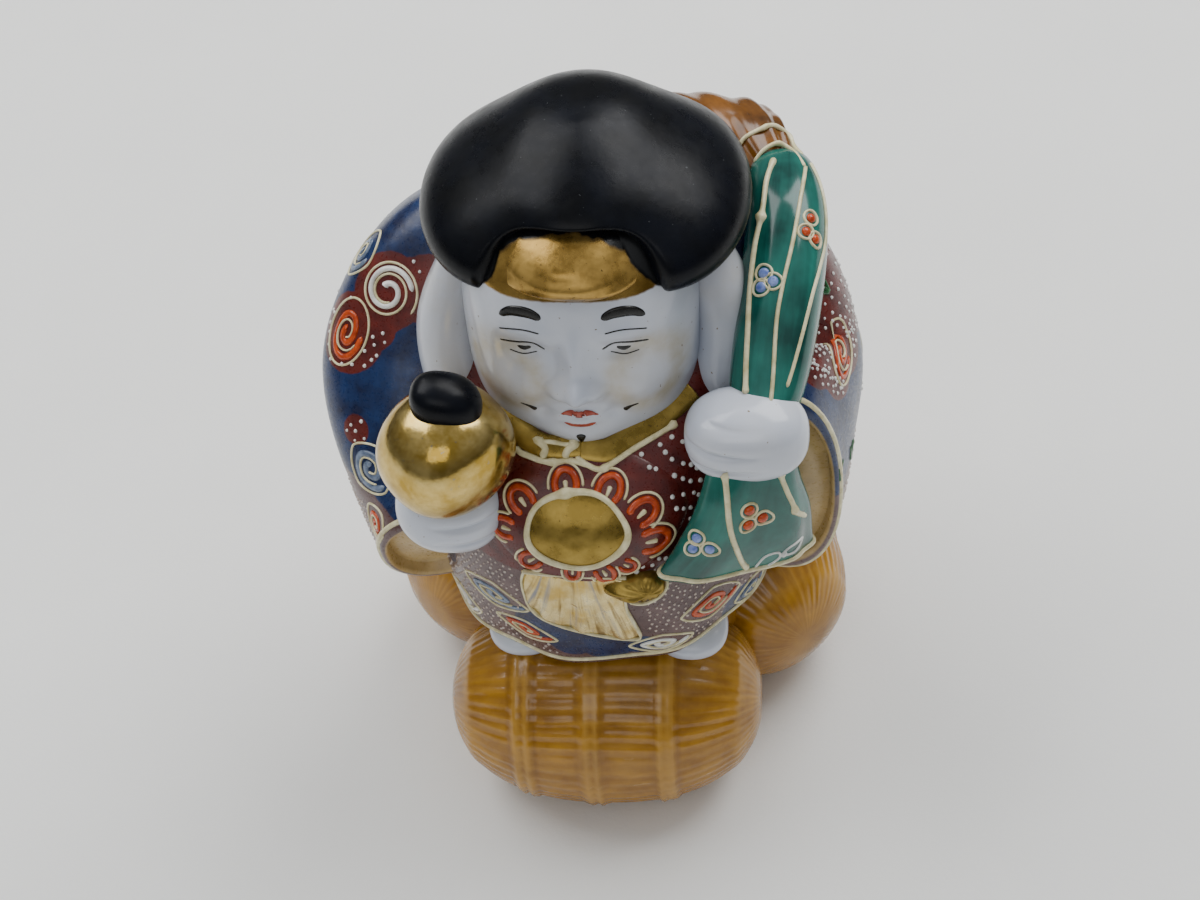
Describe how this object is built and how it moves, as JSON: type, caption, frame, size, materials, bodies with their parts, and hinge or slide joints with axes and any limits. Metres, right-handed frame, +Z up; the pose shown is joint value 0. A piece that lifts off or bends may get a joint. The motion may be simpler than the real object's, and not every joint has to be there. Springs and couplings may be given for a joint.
{
  "type": "daikoku figure",
  "caption": "Glazed porcelain ornament of a plump smiling god of plenty with a mallet and a sack, standing on rice bales.",
  "frame": {"origin": "middle of the box around the figure, on the flat underside", "axes": "+Z up from the underside to the hat; the figure faces -Y; +X is on the figure's left, the sack's side"},
  "size_m": [0.1716, 0.1684, 0.2389],
  "materials": {
    "glazed_porcelain": "gloss glaze with enamels and gold"
  },
  "bodies": {
    "root": {"daikoku_figure": "glazed_porcelain"}
  },
  "joints": []
}
